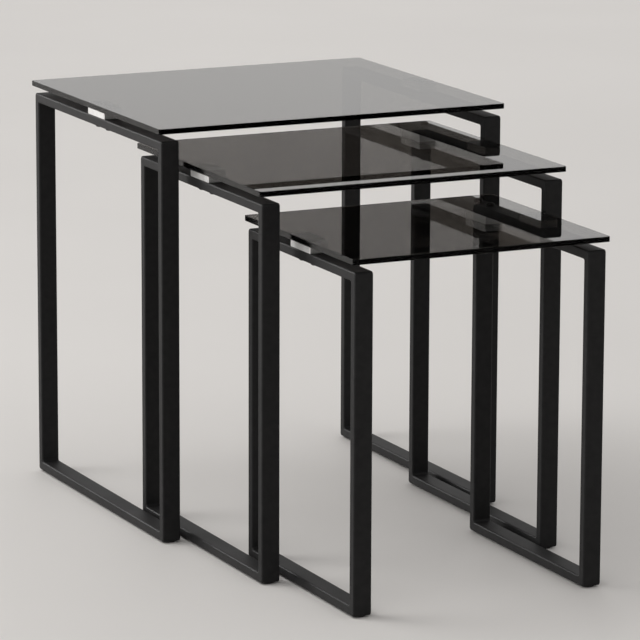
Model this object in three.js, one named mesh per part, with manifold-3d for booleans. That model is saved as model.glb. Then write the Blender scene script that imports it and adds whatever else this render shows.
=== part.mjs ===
// A nest of three side tables. Each table is a smoked glass top that floats on two metal blocks,
// one on each of two welded rectangular-tube side frames. The frames have no crossbars, so every
// smaller table slides in and out between the frames of the next larger one.
// Units are millimetres. +X is to the right, -Y is the front, +Z is up, and the floor is z = 0.

import * as THREE from 'three';
import { mergeVertices } from 'three/addons/utils/BufferGeometryUtils.js';
import Module from 'manifold-3d';

const wasm = await Module();
wasm.setup();

// The three tables. Each size is taken over the glass; y is the table's centre in the nest's frame.
// The middle of the whole nest, as it stands pulled out, is at x = 0, y = 0.
const TABLES = [
  { name: 'large', width: 500, depth: 440, height: 550, y: 209 },
  { name: 'medium', width: 432, depth: 388, height: 506, y: -51 },
  { name: 'small', width: 355, depth: 316, height: 451, y: -271 },
];

// Glass tops
const GLASS_THICKNESS = 7;
const GLASS_CORNER_RADIUS = 3;
const GLASS_EDGE_CHAMFER = 0.6;
const GLASS_OVERHANG_SIDE = 4;
const GLASS_OVERHANG_END = 3;

// Rectangular steel tube of the side frames: its wide side faces front and back
const TUBE_WIDTH = 25;
const TUBE_DEPTH = 12.5;
const TUBE_WALL = 1.5;
const TUBE_CORNER_RADIUS = 1.2;
const TUBE_BORE_RADIUS = 0.4;

// Gap left in each mitred corner for the weld
const WELD_GAP = 0.3;

// Metal block that carries the glass, one in the middle of each top rail
const BLOCK_LENGTH = 56;
const BLOCK_HEIGHT = 10;
const BLOCK_CORNER_RADIUS = 1;
const BLOCK_CHAMFER = 0.4;

// Button-head screws that hold the block down through the top rail
const SCREW_SPACING = 34;
const SCREW_RADIUS = 3;
const SCREW_CLEARANCE = 0.3;
const SCREW_HEAD_RADIUS = 6;
const SCREW_HEAD_HEIGHT = 4.5;
const SCREW_GRIP = 7;
const SCREW_TIP_CHAMFER = 0.6;
const SOCKET_RADIUS = 2.3;
const SOCKET_DEPTH = 2.5;

// Push-in glides under the ends of each bottom rail
const GLIDE_RADIUS = 8;
const GLIDE_HEIGHT = 2;
const GLIDE_CHAMFER = 0.6;
const GLIDE_STEM_RADIUS = 3.5;
const GLIDE_STEM_LENGTH = 5;
const GLIDE_INSET = 11;

// Facets
const TUBE_CORNER_SEGMENTS = 2;
const GLASS_CORNER_SEGMENTS = 4;
const ROUND_SEGMENTS = 16;
const SOCKET_SIDES = 6;

// Finishes
const FINISHES = {
  smoked_glass: { color: 0x4a4846, roughness: 0.04, metalness: 0, transparent: true, opacity: 0.55 },
  black_powder_coat: { color: 0x17171a, roughness: 0.5, metalness: 0 },
  bright_block: { color: 0xd6d6d3, roughness: 0.25, metalness: 1 },
  black_screw: { color: 0x1a1a1c, roughness: 0.35, metalness: 0.8 },
  black_glide: { color: 0x101011, roughness: 0.6, metalness: 0 },
};

const group = new THREE.Group();

function addPiece(parent, name, geometry, finish) {
  const material = new THREE.MeshStandardMaterial(FINISHES[finish]);
  const mesh = new THREE.Mesh(geometry, material);
  mesh.name = name;
  parent.add(mesh);
  return mesh;
}

// A rectangle with round corners, from (x0, y0) to (x1, y1)
function traceRoundRectangle(path, x0, y0, x1, y1, radius) {
  path.moveTo(x0 + radius, y0);
  path.lineTo(x1 - radius, y0);
  path.absarc(x1 - radius, y0 + radius, radius, -Math.PI / 2, 0, false);
  path.lineTo(x1, y1 - radius);
  path.absarc(x1 - radius, y1 - radius, radius, 0, Math.PI / 2, false);
  path.lineTo(x0 + radius, y1);
  path.absarc(x0 + radius, y1 - radius, radius, Math.PI / 2, Math.PI, false);
  path.lineTo(x0, y0 + radius);
  path.absarc(x0 + radius, y0 + radius, radius, Math.PI, 1.5 * Math.PI, false);
  return path;
}

// A flat slab with round corners and chamfered edges, centred on the origin, standing on z = 0
function slabGeometry(width, depth, thickness, radius, chamfer, segments) {
  const shape = new THREE.Shape();
  traceRoundRectangle(shape, -width / 2, -depth / 2, width / 2, depth / 2, radius);
  const geometry = new THREE.ExtrudeGeometry(shape, {
    depth: thickness - 2 * chamfer,
    bevelEnabled: true,
    bevelThickness: chamfer,
    bevelSize: chamfer,
    bevelOffset: -chamfer,
    bevelSegments: 1,
    curveSegments: segments,
  });
  geometry.translate(0, 0, chamfer);
  return geometry;
}

function toManifold(geometry) {
  const bare = geometry.clone();
  bare.deleteAttribute('normal');
  bare.deleteAttribute('uv');
  const merged = mergeVertices(bare, 1e-4);
  const mesh = new wasm.Mesh({
    numProp: 3,
    vertProperties: new Float32Array(merged.attributes.position.array),
    triVerts: new Uint32Array(merged.index.array),
  });
  return new wasm.Manifold(mesh);
}

function fromManifold(solid) {
  const mesh = solid.getMesh();
  const geometry = new THREE.BufferGeometry();
  geometry.setAttribute('position', new THREE.BufferAttribute(mesh.vertProperties, mesh.numProp));
  geometry.setIndex(new THREE.BufferAttribute(mesh.triVerts, 1));
  geometry.computeVertexNormals();
  return geometry;
}

function cutAway(geometry, cutters) {
  let solid = toManifold(geometry);
  for (const cutter of cutters) {
    solid = solid.subtract(toManifold(cutter));
  }
  return fromManifold(solid);
}

// A tube with both ends mitred at 45 degrees for a welded corner. It runs along +Z from its outer
// corner; y = 0 is the outside of the frame and y = TUBE_DEPTH the inside.
function mitredTubeGeometry(length) {
  const half = TUBE_WIDTH / 2;
  const shape = new THREE.Shape();
  traceRoundRectangle(shape, -half, 0, half, TUBE_DEPTH, TUBE_CORNER_RADIUS);
  const bore = new THREE.Path();
  traceRoundRectangle(
    bore,
    -half + TUBE_WALL,
    TUBE_WALL,
    half - TUBE_WALL,
    TUBE_DEPTH - TUBE_WALL,
    TUBE_BORE_RADIUS,
  );
  shape.holes.push(bore);
  const geometry = new THREE.ExtrudeGeometry(shape, {
    depth: length,
    bevelEnabled: false,
    curveSegments: TUBE_CORNER_SEGMENTS,
  });
  const position = geometry.attributes.position;
  const setback = WELD_GAP / Math.SQRT2;
  for (let i = 0; i < position.count; i += 1) {
    const mitre = position.getY(i) + setback;
    const atStart = position.getZ(i) < length / 2;
    position.setZ(i, atStart ? mitre : length - mitre);
  }
  return geometry;
}

// Top rail: two clearance holes through both walls take the screws
function topRailGeometry(length) {
  const cutters = [-1, 1].map((side) => {
    const radius = SCREW_RADIUS + SCREW_CLEARANCE;
    const cutter = new THREE.CylinderGeometry(radius, radius, 3 * TUBE_DEPTH, ROUND_SEGMENTS);
    cutter.translate(0, 0, length / 2 + (side * SCREW_SPACING) / 2);
    return cutter;
  });
  return cutAway(mitredTubeGeometry(length), cutters);
}

// Bottom rail: a hole in the lower wall near each end takes a glide's stem
function bottomRailGeometry(length) {
  const cutters = [GLIDE_INSET, length - GLIDE_INSET].map((z) => {
    const radius = GLIDE_STEM_RADIUS + SCREW_CLEARANCE;
    const cutter = new THREE.CylinderGeometry(radius, radius, 4 * TUBE_WALL, ROUND_SEGMENTS);
    cutter.translate(0, 0, z);
    return cutter;
  });
  return cutAway(mitredTubeGeometry(length), cutters);
}

// Block: two blind holes in its underside take the screws
function blockGeometry() {
  const slab = slabGeometry(TUBE_WIDTH, BLOCK_LENGTH, BLOCK_HEIGHT, BLOCK_CORNER_RADIUS, BLOCK_CHAMFER, 1);
  const cutters = [-1, 1].map((side) => {
    const radius = SCREW_RADIUS + SCREW_CLEARANCE;
    const depth = SCREW_GRIP + SCREW_CLEARANCE;
    const cutter = new THREE.CylinderGeometry(radius, radius, 2 * depth, ROUND_SEGMENTS);
    cutter.rotateX(Math.PI / 2);
    cutter.translate(0, (side * SCREW_SPACING) / 2, 0);
    return cutter;
  });
  return cutAway(slab, cutters);
}

// A solid of revolution about +Z; each point is [radius, height], from the axis round to the axis
function turnedGeometry(points) {
  const profile = points.map(([radius, height]) => new THREE.Vector2(radius, height));
  const geometry = new THREE.LatheGeometry(profile, ROUND_SEGMENTS);
  geometry.rotateX(Math.PI / 2);
  return geometry;
}

// Screw with its head's bearing face at z = 0, its head below and its shank above
function screwGeometry() {
  const shank = TUBE_DEPTH + SCREW_GRIP;
  const body = turnedGeometry([
    [0, -SCREW_HEAD_HEIGHT],
    [0.55 * SCREW_HEAD_RADIUS, -SCREW_HEAD_HEIGHT],
    [0.87 * SCREW_HEAD_RADIUS, -0.72 * SCREW_HEAD_HEIGHT],
    [SCREW_HEAD_RADIUS, -0.3 * SCREW_HEAD_HEIGHT],
    [SCREW_HEAD_RADIUS, 0],
    [SCREW_RADIUS, 0],
    [SCREW_RADIUS, shank - SCREW_TIP_CHAMFER],
    [SCREW_RADIUS - SCREW_TIP_CHAMFER, shank],
    [0, shank],
  ]);
  const socket = new THREE.CylinderGeometry(SOCKET_RADIUS, SOCKET_RADIUS, 2 * SOCKET_DEPTH, SOCKET_SIDES);
  socket.rotateX(Math.PI / 2);
  socket.translate(0, 0, -SCREW_HEAD_HEIGHT);
  return cutAway(body, [socket]);
}

// Glide: a round pad that stands on z = 0, with a stem that pushes up into the rail
function glideGeometry() {
  const stemTop = GLIDE_HEIGHT + GLIDE_STEM_LENGTH;
  return turnedGeometry([
    [0, 0],
    [GLIDE_RADIUS - GLIDE_CHAMFER, 0],
    [GLIDE_RADIUS, GLIDE_CHAMFER],
    [GLIDE_RADIUS, GLIDE_HEIGHT],
    [GLIDE_STEM_RADIUS, GLIDE_HEIGHT],
    [GLIDE_STEM_RADIUS, stemTop - GLIDE_CHAMFER],
    [GLIDE_STEM_RADIUS - GLIDE_CHAMFER, stemTop],
    [0, stemTop],
  ]);
}

// One side frame: a closed upright loop of four mitred tubes. Its group stands at the outer bottom
// edge, centred on the frame's width and length.
function addSideFrame(parent, name, length, height) {
  const front = -length / 2;
  const back = length / 2;
  const members = [
    ['front_leg', mitredTubeGeometry(height), front, 0, 0],
    ['top_rail', topRailGeometry(length), front, height, -Math.PI / 2],
    ['back_leg', mitredTubeGeometry(height), back, height, Math.PI],
    ['bottom_rail', bottomRailGeometry(length), back, 0, Math.PI / 2],
  ];
  for (const [part, geometry, y, z, turn] of members) {
    const tube = addPiece(parent, `${name}_${part}`, geometry, 'black_powder_coat');
    tube.position.set(0, y, z);
    tube.rotation.x = turn;
  }
}

function addTable({ name, width, depth, height, y }) {
  const table = new THREE.Group();
  table.position.y = y;
  group.add(table);

  const glass = addPiece(
    table,
    `${name}_glass_top`,
    slabGeometry(
      width,
      depth,
      GLASS_THICKNESS,
      GLASS_CORNER_RADIUS,
      GLASS_EDGE_CHAMFER,
      GLASS_CORNER_SEGMENTS,
    ),
    'smoked_glass',
  );
  glass.position.z = height - GLASS_THICKNESS;

  const frameLength = depth - 2 * GLASS_OVERHANG_END;
  const railTop = height - GLASS_THICKNESS - BLOCK_HEIGHT;
  const frameX = width / 2 - GLASS_OVERHANG_SIDE - TUBE_WIDTH / 2;
  for (const [side, sign] of [['left', -1], ['right', 1]]) {
    const prefix = `${name}_${side}`;
    const column = new THREE.Group();
    column.position.x = sign * frameX;
    table.add(column);

    const frame = new THREE.Group();
    frame.position.z = GLIDE_HEIGHT;
    column.add(frame);
    addSideFrame(frame, prefix, frameLength, railTop - GLIDE_HEIGHT);

    const block = addPiece(column, `${prefix}_block`, blockGeometry(), 'bright_block');
    block.position.z = railTop;

    for (const [end, direction] of [['front', -1], ['back', 1]]) {
      const screw = addPiece(column, `${prefix}_screw_${end}`, screwGeometry(), 'black_screw');
      screw.position.set(0, (direction * SCREW_SPACING) / 2, railTop - TUBE_DEPTH);

      const glide = addPiece(column, `${prefix}_glide_${end}`, glideGeometry(), 'black_glide');
      glide.position.y = direction * (frameLength / 2 - GLIDE_INSET);
    }
  }
}

for (const table of TABLES) {
  addTable(table);
}

export default group;
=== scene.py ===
"""Three nesting side tables with smoked glass tops on black rectangular-tube side frames.

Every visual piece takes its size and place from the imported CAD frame. Units are metres.
"""

import math

import bpy
from mathutils import Matrix, Vector


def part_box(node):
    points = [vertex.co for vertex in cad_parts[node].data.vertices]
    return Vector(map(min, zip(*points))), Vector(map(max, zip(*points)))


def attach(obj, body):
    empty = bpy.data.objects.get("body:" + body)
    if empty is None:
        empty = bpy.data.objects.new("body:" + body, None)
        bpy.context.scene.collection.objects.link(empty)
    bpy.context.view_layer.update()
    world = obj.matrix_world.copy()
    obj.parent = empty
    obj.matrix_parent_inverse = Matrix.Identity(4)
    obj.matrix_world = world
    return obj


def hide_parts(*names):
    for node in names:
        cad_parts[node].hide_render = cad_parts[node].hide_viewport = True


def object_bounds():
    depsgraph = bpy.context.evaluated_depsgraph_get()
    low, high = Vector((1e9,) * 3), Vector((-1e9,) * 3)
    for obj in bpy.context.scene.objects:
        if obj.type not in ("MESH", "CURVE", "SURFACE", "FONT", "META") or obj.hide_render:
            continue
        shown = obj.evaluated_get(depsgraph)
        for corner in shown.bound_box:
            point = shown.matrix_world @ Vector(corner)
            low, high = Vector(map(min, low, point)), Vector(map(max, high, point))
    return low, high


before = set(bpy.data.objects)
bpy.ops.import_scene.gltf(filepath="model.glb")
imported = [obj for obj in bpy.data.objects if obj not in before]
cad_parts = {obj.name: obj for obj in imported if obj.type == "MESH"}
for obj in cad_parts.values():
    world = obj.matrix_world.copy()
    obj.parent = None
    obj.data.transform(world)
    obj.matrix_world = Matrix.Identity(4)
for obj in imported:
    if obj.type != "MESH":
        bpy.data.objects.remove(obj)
cad_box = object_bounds()

MM = 0.001
TABLES = ("large", "medium", "small")
SIDES = ("left", "right")
ENDS = ("front", "back")

# Camera: its angles round the nest in degrees, its distance, its lens and sensor in millimetres, and
# how far right of the nest's middle and above it the camera looks
VIEW_AZIMUTH = -25.62
VIEW_ELEVATION = 12.27
VIEW_ROLL = 0.206
VIEW_DISTANCE = 5.614
VIEW_LENS = 239.35
SENSOR_WIDTH = 36.0
AIM_RIGHT = -14.4 * MM
AIM_UP = 1.0 * MM

# Tube of the side frames, as welded, ground and coated
TUBE_EDGE_RADIUS = 2.1 * MM
WELD_OUTER_RADIUS = 3.2 * MM
WELD_INNER_RADIUS = 3.6 * MM
TUBE_EDGE_SEGMENTS = 6
WELD_SEGMENTS = 8

# Glass tops with round corners and a polished arris
GLASS_CORNER_RADIUS = 3.0 * MM
GLASS_ARRIS = 0.4 * MM
GLASS_CORNER_SEGMENTS = 10
GLASS_ARRIS_SEGMENTS = 4

# Metal blocks under the glass
BLOCK_CORNER_RADIUS = 1.0 * MM
BLOCK_EDGE_RADIUS = 0.5 * MM
BLOCK_SEGMENTS = 4

# Button-head socket screws; the drill leaves a small cone at the bottom of the socket
HEAD_HEIGHT = 4.5 * MM
HEAD_RIM = 1.1 * MM
HEAD_FLAT_SHARE = 0.5
SHANK_RADIUS = 3.0 * MM
SHANK_CHAMFER = 0.6 * MM
SOCKET_RADIUS = 2.3 * MM
SOCKET_CHAMFER = 0.25 * MM
SOCKET_DEPTH = 2.5 * MM
SOCKET_SIDES = 6
DRILL_CONE_DEPTH = 0.5 * MM
DRILL_CONE_END_SHARE = 0.3

# Push-in glides
PAD_MIDDLE_SHARE = 0.3
PAD_HEIGHT = 2.0 * MM
PAD_FOOT_RADIUS = 0.6 * MM
PAD_TOP_RADIUS = 0.25 * MM
STEM_RADIUS = 3.5 * MM
STEM_CHAMFER = 0.6 * MM

# Turned pieces, and the angle from which the edge between two of their faces looks sharp
TURN_SEGMENTS = 48
ARC_SEGMENTS = 4
SHARP_ANGLE = math.radians(32)

# Smoked glass. Its colour and depth come from absorption inside the sheet, per metre
GLASS_IOR = 1.52
GLASS_SMOKE_COLOUR = (0.08, 0.04, 0.0, 1)
GLASS_SMOKE_DENSITY = 290.0
GLASS_EDGE_ROUGHNESS = 0.13
# Share of the faces' reflection that the upright edges keep: painted shade that keeps the edges dark
# from every side
GLASS_EDGE_PAINTED_SHADE = 0.12

# How far up a face's normal points: up to the first it counts as an edge, from the second as level
EDGE_UPWARD = 0.3
LEVEL_UPWARD = 0.8

# Studio: a wide pale floor, and a world of a different strength in each direction
FLOOR_REACH = 14.0
WORLD_COLOUR = (1.0, 0.985, 0.97, 1)
WORLD_FRONT = 0.32
WORLD_BACK = 0.82
WORLD_LEFT = 1.1
WORLD_HORIZON = 0.54
WORLD_ZENITH = 0.58

# Where one part of the world fades into the next, as a span of the direction's X, Y or Z
LEFT_TO_REST = (-0.9, 0.4)
FRONT_TO_BACK = (-0.5, 0.7)
HORIZON_TO_WALLS = (0.03, 0.14)
WALLS_TO_ZENITH = (0.35, 0.8)

# Lamps: the fade runs from the core to the rim, in shares of the lamp's width
LAMP_COLOUR = (1.0, 0.99, 0.98)
KEY_COLOUR = (1.0, 0.99, 0.975)
LAMP_PEAK = 2.2
LAMP_CORE_RADIUS = 0.05
LAMP_RIM_RADIUS = 0.5

# Colour sockets of Blender's mix node when it mixes colours
MIX_FIRST = 6
MIX_SECOND = 7
MIX_RESULT = 2


# ---------------------------------------------------------------- meshes


def add_object(name, vertices, faces, normals=None):
    """A smooth mesh object in the CAD frame, with the given normals or with sharp edges by angle."""
    mesh = bpy.data.meshes.new(name)
    mesh.from_pydata(vertices, [], faces)
    mesh.validate()
    mesh.polygons.foreach_set("use_smooth", [True] * len(mesh.polygons))
    if normals is None:
        mesh.set_sharp_from_angle(angle=SHARP_ANGLE)
    else:
        mesh.normals_split_custom_set_from_vertices(normals)
    mesh.update()
    obj = bpy.data.objects.new(name, mesh)
    bpy.context.scene.collection.objects.link(obj)
    return obj


def round_rectangle(x0, y0, x1, y1, radius, segments):
    """Points of a rectangle with round corners, anticlockwise, each as (x, y, normal x, normal y)."""
    points = []
    corners = ((x1, y0, -90), (x1, y1, 0), (x0, y1, 90), (x0, y0, 180))
    for corner_x, corner_y, start in corners:
        centre_x = corner_x - radius if corner_x == x1 else corner_x + radius
        centre_y = corner_y - radius if corner_y == y1 else corner_y + radius
        for step in range(segments + 1):
            angle = math.radians(start + 90 * step / segments)
            nx, ny = math.cos(angle), math.sin(angle)
            points.append((centre_x + radius * nx, centre_y + radius * ny, nx, ny))
    return points


def ring_faces(rings, count, closed):
    """Quads between rings of count points each; closed joins the last ring to the first."""
    faces = []
    for ring in range(rings if closed else rings - 1):
        lower = ring * count
        upper = (ring + 1) % rings * count
        for i in range(count):
            j = (i + 1) % count
            faces.append((lower + i, lower + j, upper + j, upper + i))
    return faces


def round_slab(name, lo, hi, corner_radius, edge_radius, corner_segments, edge_segments):
    """A flat plate with round corners and rounded upper and lower edges."""
    vertices, normals = [], []
    rings = 0
    for centre_z, start in ((lo.z + edge_radius, -90), (hi.z - edge_radius, 0)):
        for step in range(edge_segments + 1):
            tilt = math.radians(start + 90 * step / edge_segments)
            inset = edge_radius * (1 - math.cos(tilt))
            z = centre_z + edge_radius * math.sin(tilt)
            outline = round_rectangle(
                lo.x + inset, lo.y + inset, hi.x - inset, hi.y - inset, corner_radius - inset,
                corner_segments,
            )
            for x, y, nx, ny in outline:
                vertices.append((x, y, z))
                normals.append((nx * math.cos(tilt), ny * math.cos(tilt), math.sin(tilt)))
            rings += 1
    count = len(vertices) // rings
    faces = ring_faces(rings, count, closed=False)
    faces.append(tuple(reversed(range(count))))
    faces.append(tuple(range((rings - 1) * count, rings * count)))
    return add_object(name, vertices, faces, normals)


def welded_loop(name, lo, hi, depth):
    """A closed upright frame of rectangular tube lying in a YZ plane. The section runs the full
    width in X and depth inward, and it goes round the frame with a ground outer corner and a small
    weld fillet in each inner corner."""
    section = round_rectangle(lo.x, 0, hi.x, depth, TUBE_EDGE_RADIUS, TUBE_EDGE_SEGMENTS)
    section.reverse()
    paths = []
    for _, inset, _, _ in section:
        share = inset / depth
        radius = WELD_OUTER_RADIUS + share * (WELD_INNER_RADIUS - WELD_OUTER_RADIUS)
        paths.append(round_rectangle(
            lo.y + inset, lo.z + inset, hi.y - inset, hi.z - inset, radius, WELD_SEGMENTS,
        ))
    vertices, normals = [], []
    rings = len(paths[0])
    for ring in range(rings):
        for (x, _, nx, n_in), path in zip(section, paths):
            y, z, out_y, out_z = path[ring]
            vertices.append((x, y, z))
            normals.append((nx, -n_in * out_y, -n_in * out_z))
    faces = ring_faces(rings, len(section), closed=True)
    return add_object(name, vertices, faces, normals)


def turned(name, centre, profile):
    """A solid turned about an upright axis through centre. Each step of the profile is (radius, z),
    or (radius, z, sides) where the ring is a polygon; it starts and ends in a flat cap."""
    vertices = []
    for radius, z, *sides in profile:
        for i in range(TURN_SEGMENTS):
            angle = math.tau * i / TURN_SEGMENTS
            reach = radius
            if sides:
                half_side = math.pi / sides[0]
                reach = radius * math.cos(half_side) / math.cos(angle % (2 * half_side) - half_side)
            vertices.append((centre.x + reach * math.cos(angle), centre.y + reach * math.sin(angle), z))
    rings = len(profile)
    faces = ring_faces(rings, TURN_SEGMENTS, closed=False)
    faces.append(tuple(reversed(range(TURN_SEGMENTS))))
    faces.append(tuple(range((rings - 1) * TURN_SEGMENTS, rings * TURN_SEGMENTS)))
    return add_object(name, vertices, faces)


def arc(radius, centre_r, centre_z, start, end):
    """Profile points on an arc, by degrees from the horizontal."""
    points = []
    for step in range(ARC_SEGMENTS + 1):
        angle = math.radians(start + (end - start) * step / ARC_SEGMENTS)
        points.append((centre_r + radius * math.cos(angle), centre_z + radius * math.sin(angle)))
    return points


def socket_screw(name, node):
    """A button-head screw that points up, with a hexagon socket in the underside of its domed head."""
    lo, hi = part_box(node)
    centre = (lo + hi) / 2
    radius = (hi.x - lo.x) / 2
    bearing = lo.z + HEAD_HEIGHT
    flat = HEAD_FLAT_SHARE * radius
    dome_height = HEAD_HEIGHT - HEAD_RIM
    dome = []
    steps = 2 * ARC_SEGMENTS
    for step in range(steps + 1):
        angle = math.radians(90 * step / steps)
        reach = flat + (radius - flat) * math.sin(angle)
        dome.append((reach, lo.z + dome_height * (1 - math.cos(angle))))
    profile = [
        (DRILL_CONE_END_SHARE * SOCKET_RADIUS, lo.z + SOCKET_DEPTH + DRILL_CONE_DEPTH),
        (SOCKET_RADIUS, lo.z + SOCKET_DEPTH, SOCKET_SIDES),
        (SOCKET_RADIUS, lo.z + SOCKET_CHAMFER, SOCKET_SIDES),
        (SOCKET_RADIUS + SOCKET_CHAMFER, lo.z),
        *dome,
        (radius, bearing),
        (SHANK_RADIUS, bearing),
        (SHANK_RADIUS, hi.z - SHANK_CHAMFER),
        (SHANK_RADIUS - SHANK_CHAMFER, hi.z),
    ]
    return turned(name, centre, profile)


def glide_pad(name, node):
    """A round pad with softened edges and the stem that holds it in the rail above."""
    lo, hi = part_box(node)
    centre = (lo + hi) / 2
    radius = (hi.x - lo.x) / 2
    top = lo.z + PAD_HEIGHT
    foot = arc(PAD_FOOT_RADIUS, radius - PAD_FOOT_RADIUS, lo.z + PAD_FOOT_RADIUS, -90, 0)
    brim = arc(PAD_TOP_RADIUS, radius - PAD_TOP_RADIUS, top - PAD_TOP_RADIUS, 0, 90)
    profile = [
        (PAD_MIDDLE_SHARE * radius, lo.z),
        *foot,
        *brim,
        (STEM_RADIUS, top),
        (STEM_RADIUS, hi.z - STEM_CHAMFER),
        (STEM_RADIUS - STEM_CHAMFER, hi.z),
    ]
    return turned(name, centre, profile)


# ---------------------------------------------------------------- materials


class Nodes:
    """Short calls for building one material's node tree."""

    def __init__(self, name):
        self.material = bpy.data.materials.new(name)
        self.material.use_nodes = True
        self.tree = self.material.node_tree
        self.tree.nodes.clear()
        self.output = self.tree.nodes.new("ShaderNodeOutputMaterial")
        self.shader = self.tree.nodes.new("ShaderNodeBsdfPrincipled")
        self.link(self.shader.outputs["BSDF"], self.output.inputs["Surface"])
        self.place = self.tree.nodes.new("ShaderNodeTexCoord").outputs["Object"]

    def link(self, source, target):
        self.tree.links.new(source, target)

    def noise(self, size, detail=2.0, roughness=0.5, stretch=(1, 1, 1)):
        """Noise whose features measure about size, drawn out along an axis by stretch."""
        mapping = self.tree.nodes.new("ShaderNodeMapping")
        mapping.inputs["Scale"].default_value = [1 / (size * s) for s in stretch]
        self.link(self.place, mapping.inputs["Vector"])
        node = self.tree.nodes.new("ShaderNodeTexNoise")
        node.inputs["Scale"].default_value = 1.0
        node.inputs["Detail"].default_value = detail
        node.inputs["Roughness"].default_value = roughness
        self.link(mapping.outputs["Vector"], node.inputs["Vector"])
        return node.outputs["Fac"]

    def spread(self, value, low, high, start=0.3, end=0.7):
        """Maps start..end of value onto low..high."""
        node = self.tree.nodes.new("ShaderNodeMapRange")
        node.inputs["From Min"].default_value = start
        node.inputs["From Max"].default_value = end
        node.inputs["To Min"].default_value = low
        node.inputs["To Max"].default_value = high
        self.link(value, node.inputs["Value"])
        return node.outputs["Result"]

    def add(self, first, second):
        node = self.tree.nodes.new("ShaderNodeMath")
        node.operation = "ADD"
        self.link(first, node.inputs[0])
        self.link(second, node.inputs[1])
        return node.outputs["Value"]

    def facing_sideways(self):
        """1 on faces that stand upright, 0 on level ones."""
        geometry = self.tree.nodes.new("ShaderNodeNewGeometry")
        turn = self.tree.nodes.new("ShaderNodeVectorTransform")
        turn.vector_type = "NORMAL"
        turn.convert_from = "WORLD"
        turn.convert_to = "OBJECT"
        axes = self.tree.nodes.new("ShaderNodeSeparateXYZ")
        upward = self.tree.nodes.new("ShaderNodeMath")
        upward.operation = "ABSOLUTE"
        self.link(geometry.outputs["Normal"], turn.inputs["Vector"])
        self.link(turn.outputs["Vector"], axes.inputs["Vector"])
        self.link(axes.outputs["Z"], upward.inputs[0])
        return self.spread(upward.outputs["Value"], 1, 0, EDGE_UPWARD, LEVEL_UPWARD)

    def blend(self, factor, first, second):
        """A colour between first and second by factor."""
        node = self.tree.nodes.new("ShaderNodeMix")
        node.data_type = "RGBA"
        self.link(factor, node.inputs["Factor"])
        node.inputs[MIX_FIRST].default_value = (*first, 1)
        node.inputs[MIX_SECOND].default_value = (*second, 1)
        return node.outputs[MIX_RESULT]

    def bump(self, height, distance, under=None):
        """A normal bumped by height, where a height of 1 stands for distance, over the bump under."""
        node = self.tree.nodes.new("ShaderNodeBump")
        node.inputs["Strength"].default_value = 1.0
        node.inputs["Distance"].default_value = distance
        self.link(height, node.inputs["Height"])
        if under is not None:
            self.link(under, node.inputs["Normal"])
        return node.outputs["Normal"]

    def set(self, **values):
        """Sets or links the shader's sockets, spaces in their names written as underscores."""
        for name, value in values.items():
            socket = self.shader.inputs[name.replace("_", " ")]
            if isinstance(value, bpy.types.NodeSocket):
                self.link(value, socket)
            else:
                socket.default_value = value


def smoked_glass():
    """Grey float glass, dark through its depth, with faint wipe marks on the polished faces and a
    rougher, fine-ground edge whose reflection is cut to a small share as painted shade."""
    n = Nodes("smoked_glass")
    wipe = n.noise(70 * MM, detail=4, roughness=0.6, stretch=(2.2, 1, 1))
    speck = n.noise(3 * MM, detail=3)
    wave = n.noise(160 * MM, detail=1)
    edge = n.facing_sideways()
    haze = n.add(n.spread(wipe, 0, 0.012), n.spread(speck, 0, 0.008))
    ground = n.spread(edge, 0, GLASS_EDGE_ROUGHNESS, 0, 1)
    n.set(
        Base_Color=n.blend(n.spread(wipe, 0, 1), (0.97, 0.97, 0.965), (1.0, 1.0, 1.0)),
        Roughness=n.add(haze, ground),
        # Painted shade: the upright edges mirror only a small share of what the level faces mirror
        Specular_Tint=n.blend(edge, (1.0, 1.0, 1.0), (GLASS_EDGE_PAINTED_SHADE,) * 3),
        Normal=n.bump(wave, 0.004 * MM),
        IOR=GLASS_IOR,
        Transmission_Weight=1.0,
    )
    volume = n.tree.nodes.new("ShaderNodeVolumeAbsorption")
    volume.inputs["Color"].default_value = GLASS_SMOKE_COLOUR
    volume.inputs["Density"].default_value = GLASS_SMOKE_DENSITY
    n.link(volume.outputs["Volume"], n.output.inputs["Volume"])
    return n.material


def black_powder_coat():
    """Satin black powder coat: slow clouds of sheen over a fine orange-peel surface."""
    n = Nodes("black_powder_coat")
    mottle = n.noise(9 * MM, detail=3)
    cloud = n.noise(90 * MM, detail=2)
    peel = n.noise(0.9 * MM, detail=1)
    grit = n.noise(0.25 * MM, detail=2)
    under = n.bump(peel, 0.012 * MM)
    n.set(
        Base_Color=n.blend(n.spread(mottle, 0, 1), (0.0060, 0.0059, 0.0062), (0.0105, 0.0102, 0.0104)),
        Roughness=n.add(n.spread(cloud, 0.50, 0.57), n.spread(peel, -0.04, 0.06)),
        Normal=n.bump(grit, 0.004 * MM, under=under),
        Specular_IOR_Level=0.2,
    )
    return n.material


def bright_block():
    """Satin metal, brushed along the rail."""
    n = Nodes("bright_block")
    brushed = n.noise(0.35 * MM, detail=2, stretch=(1, 60, 1))
    cloud = n.noise(14 * MM, detail=2)
    n.set(
        Base_Color=n.blend(n.spread(cloud, 0, 1), (0.62, 0.615, 0.605), (0.72, 0.715, 0.71)),
        Roughness=n.add(n.spread(brushed, 0.42, 0.54), n.spread(cloud, 0.0, 0.06)),
        Normal=n.bump(brushed, 0.006 * MM),
        Metallic=1.0,
    )
    return n.material


def black_screw():
    """Black-oxide steel with worn, browner patches."""
    n = Nodes("black_screw")
    cloud = n.noise(2.5 * MM, detail=3)
    pores = n.noise(0.3 * MM, detail=2)
    n.set(
        Base_Color=n.blend(n.spread(cloud, 0, 1), (0.018, 0.018, 0.02), (0.045, 0.043, 0.042)),
        Roughness=n.spread(cloud, 0.3, 0.45),
        Normal=n.bump(pores, 0.01 * MM),
        Metallic=0.85,
    )
    return n.material


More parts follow.
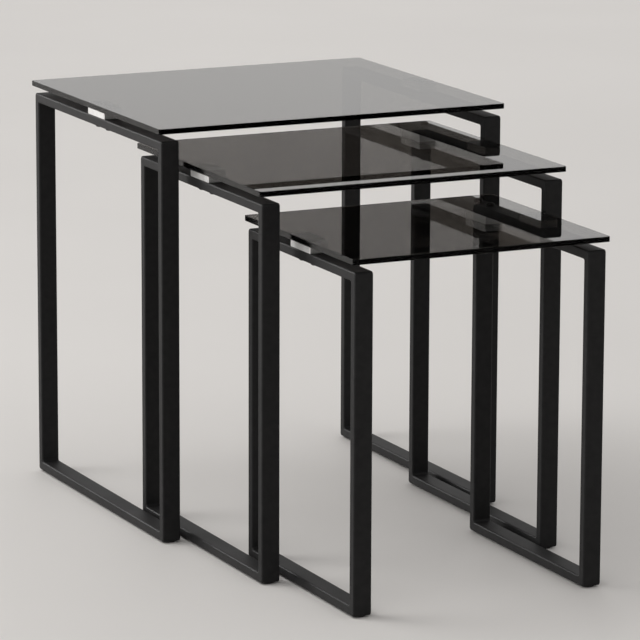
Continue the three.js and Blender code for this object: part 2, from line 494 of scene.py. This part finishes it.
def black_glide():
    """Matt black plastic with scuffs."""
    n = Nodes("black_glide")
    grain = n.noise(0.4 * MM, detail=2)
    scuff = n.noise(5 * MM, detail=4, roughness=0.65)
    n.set(
        Base_Color=n.blend(n.spread(scuff, 0, 1), (0.008, 0.008, 0.008), (0.022, 0.021, 0.02)),
        Roughness=n.spread(scuff, 0.5, 0.7),
        Normal=n.bump(grain, 0.02 * MM),
        Specular_IOR_Level=0.35,
    )
    return n.material


def pale_floor():
    """Plain pale studio floor with a faint grain."""
    n = Nodes("pale_floor")
    cloud = n.noise(700 * MM, detail=3)
    grain = n.noise(6 * MM, detail=3)
    n.set(
        Base_Color=n.blend(n.spread(cloud, 0, 1), (0.75, 0.732, 0.714), (0.77, 0.752, 0.734)),
        Roughness=n.spread(grain, 0.75, 0.9),
        Normal=n.bump(grain, 0.03 * MM),
        Specular_IOR_Level=0.2,
    )
    return n.material


FINISHES = {
    "smoked_glass": smoked_glass(),
    "black_powder_coat": black_powder_coat(),
    "bright_block": bright_block(),
    "black_screw": black_screw(),
    "black_glide": black_glide(),
}


# What the two low lamps light: every piece but the glass, which would mirror them as white sheets
low_lit = bpy.data.collections.new("low_lit")


def finish(piece, slot, body, *nodes):
    """Gives a piece its material and slot, and puts it in the place of its CAD nodes."""
    piece.data.materials.append(FINISHES[slot])
    if slot != "smoked_glass":
        low_lit.objects.link(piece)
    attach(piece, body)
    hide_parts(*nodes)


# ---------------------------------------------------------------- the tables


def side_frame(table, side):
    """One welded side frame, in the place of its four CAD tubes."""
    prefix = f"{table}_{side}"
    tubes = [f"{prefix}_{part}" for part in ("front_leg", "top_rail", "back_leg", "bottom_rail")]
    boxes = [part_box(tube) for tube in tubes]
    lo = Vector(min(box[0][axis] for box in boxes) for axis in range(3))
    hi = Vector(max(box[1][axis] for box in boxes) for axis in range(3))
    leg_lo, leg_hi = boxes[0]
    piece = welded_loop(f"{prefix}_frame", lo, hi, leg_hi.y - leg_lo.y)
    finish(piece, "black_powder_coat", f"{table}_table", *tubes)


def build_table(table):
    """One table: its glass and, on each side, a frame, a block, two screws and two glides."""
    body = f"{table}_table"
    node = f"{table}_glass_top"
    glass = round_slab(
        f"{table}_glass", *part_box(node), GLASS_CORNER_RADIUS, GLASS_ARRIS, GLASS_CORNER_SEGMENTS,
        GLASS_ARRIS_SEGMENTS,
    )
    finish(glass, "smoked_glass", body, node)
    for side in SIDES:
        side_frame(table, side)
        node = f"{table}_{side}_block"
        block = round_slab(
            f"{table}_{side}_spacer", *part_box(node), BLOCK_CORNER_RADIUS, BLOCK_EDGE_RADIUS,
            BLOCK_SEGMENTS, BLOCK_SEGMENTS,
        )
        finish(block, "bright_block", body, node)
        for end in ENDS:
            node = f"{table}_{side}_screw_{end}"
            finish(socket_screw(f"{node}_shown", node), "black_screw", body, node)
            node = f"{table}_{side}_glide_{end}"
            finish(glide_pad(f"{node}_shown", node), "black_glide", body, node)


for table in TABLES:
    build_table(table)


# ---------------------------------------------------------------- floor, light and camera


def add_floor():
    """A wide level floor, which isn't part of the object."""
    reach = FLOOR_REACH
    corners = [(-reach, -reach, 0), (reach, -reach, 0), (reach, reach, 0), (-reach, reach, 0)]
    floor = add_object("floor", corners, [(0, 1, 2, 3)])
    floor.data.materials.append(pale_floor())


def fade_to_edge(light):
    """Makes a square lamp brightest in its middle and dark at its rim, like a diffused softbox."""
    light.use_nodes = True
    tree = light.node_tree
    emission = next(node for node in tree.nodes if node.type == "EMISSION")
    parametric = tree.nodes.new("ShaderNodeNewGeometry").outputs["Parametric"]
    distance = tree.nodes.new("ShaderNodeVectorMath")
    distance.operation = "DISTANCE"
    distance.inputs[1].default_value = (0.5, 0.5, 0)
    fade = tree.nodes.new("ShaderNodeMapRange")
    fade.interpolation_type = "SMOOTHSTEP"
    fade.inputs["From Min"].default_value = LAMP_CORE_RADIUS
    fade.inputs["From Max"].default_value = LAMP_RIM_RADIUS
    fade.inputs["To Min"].default_value = LAMP_PEAK
    fade.inputs["To Max"].default_value = 0.0
    tree.links.new(parametric, distance.inputs[0])
    tree.links.new(distance.outputs["Value"], fade.inputs["Value"])
    tree.links.new(fade.outputs["Result"], emission.inputs["Strength"])


def add_softbox(name, place, aim, size, radiance, colour, mirrored=True, only=None):
    """A square lamp at place facing aim, its radiance a scale for the fade across its face. The
    camera never sees it, reflections show it only if mirrored, and it lights everything, or only the
    pieces of one collection."""
    light = bpy.data.lights.new(name, "AREA")
    light.shape = "SQUARE"
    light.size = size
    light.energy = radiance * math.pi * size * size
    light.color = colour
    fade_to_edge(light)
    obj = bpy.data.objects.new(name, light)
    obj.location = place
    obj.rotation_euler = (Vector(aim) - Vector(place)).to_track_quat("-Z", "Y").to_euler()
    obj.visible_camera = False
    obj.visible_glossy = mirrored
    obj.light_linking.receiver_collection = only
    bpy.context.scene.collection.objects.link(obj)


def add_world():
    """A pale studio all round: bright behind and to the left, dimmer in front, even at the horizon
    where it meets the floor, and with a broad soft light overhead."""
    world = bpy.data.worlds.new("studio")
    world.use_nodes = True
    tree = world.node_tree
    tree.nodes.clear()
    output = tree.nodes.new("ShaderNodeOutputWorld")
    background = tree.nodes.new("ShaderNodeBackground")
    tree.links.new(background.outputs["Background"], output.inputs["Surface"])
    direction = tree.nodes.new("ShaderNodeTexCoord").outputs["Generated"]
    axes = tree.nodes.new("ShaderNodeSeparateXYZ")
    tree.links.new(direction, axes.inputs["Vector"])

    def give(socket, value):
        if isinstance(value, bpy.types.NodeSocket):
            tree.links.new(value, socket)
        else:
            socket.default_value = value

    def fade(value, reach, low, high):
        node = tree.nodes.new("ShaderNodeMapRange")
        node.interpolation_type = "SMOOTHSTEP"
        node.inputs["From Min"].default_value = reach[0]
        node.inputs["From Max"].default_value = reach[1]
        give(node.inputs["To Min"], low)
        give(node.inputs["To Max"], high)
        tree.links.new(value, node.inputs["Value"])
        return node.outputs["Result"]

    rest = fade(axes.outputs["Y"], FRONT_TO_BACK, WORLD_FRONT, WORLD_BACK)
    walls = fade(axes.outputs["X"], LEFT_TO_REST, WORLD_LEFT, rest)
    below_zenith = fade(axes.outputs["Z"], HORIZON_TO_WALLS, WORLD_HORIZON, walls)
    strength = fade(axes.outputs["Z"], WALLS_TO_ZENITH, below_zenith, WORLD_ZENITH)
    tree.links.new(strength, background.inputs["Strength"])
    background.inputs["Color"].default_value = WORLD_COLOUR
    bpy.context.scene.world = world


def add_camera():
    """A camera at its angles round the point that it looks at, and turned by its roll."""
    azimuth = math.radians(VIEW_AZIMUTH)
    elevation = math.radians(VIEW_ELEVATION)
    roll = math.radians(VIEW_ROLL)
    back = Vector((
        math.sin(azimuth) * math.cos(elevation),
        -math.cos(azimuth) * math.cos(elevation),
        math.sin(elevation),
    ))
    level_right = Vector((math.cos(azimuth), math.sin(azimuth), 0))
    level_up = back.cross(level_right)
    right = level_right * math.cos(roll) + level_up * math.sin(roll)
    up = back.cross(right)
    aim = (cad_box[0] + cad_box[1]) / 2 + level_right * AIM_RIGHT + level_up * AIM_UP
    data = bpy.data.cameras.new("camera")
    data.lens = VIEW_LENS
    data.sensor_width = SENSOR_WIDTH
    camera = bpy.data.objects.new("camera", data)
    turn = Matrix((right, up, back)).transposed().to_4x4()
    camera.matrix_world = Matrix.Translation(aim + back * VIEW_DISTANCE) @ turn
    bpy.context.scene.collection.objects.link(camera)
    bpy.context.scene.camera = camera


add_floor()
add_world()
add_softbox(
    "key", place=(-2.4, 1.2, 3.6), aim=(0, 0, 0.2), size=4.0, radiance=1.8, colour=KEY_COLOUR,
)
add_softbox(
    "side", place=(-3.4, -0.8, 1.3), aim=(0, 0, 0.35), size=2.2, radiance=4.0, colour=LAMP_COLOUR,
    only=low_lit,
)
add_softbox(
    "rim", place=(-3.0, 4.8, 1.8), aim=(-0.1, 0, 0.3), size=3.4, radiance=7.0, colour=LAMP_COLOUR,
    only=low_lit,
)
add_softbox(
    "backdrop", place=(2.2, 5.2, 4.2), aim=(2.0, 4.0, 0), size=3.4, radiance=1.5, colour=LAMP_COLOUR,
    mirrored=False,
)
add_camera()
bpy.context.scene.view_settings.view_transform = "Standard"
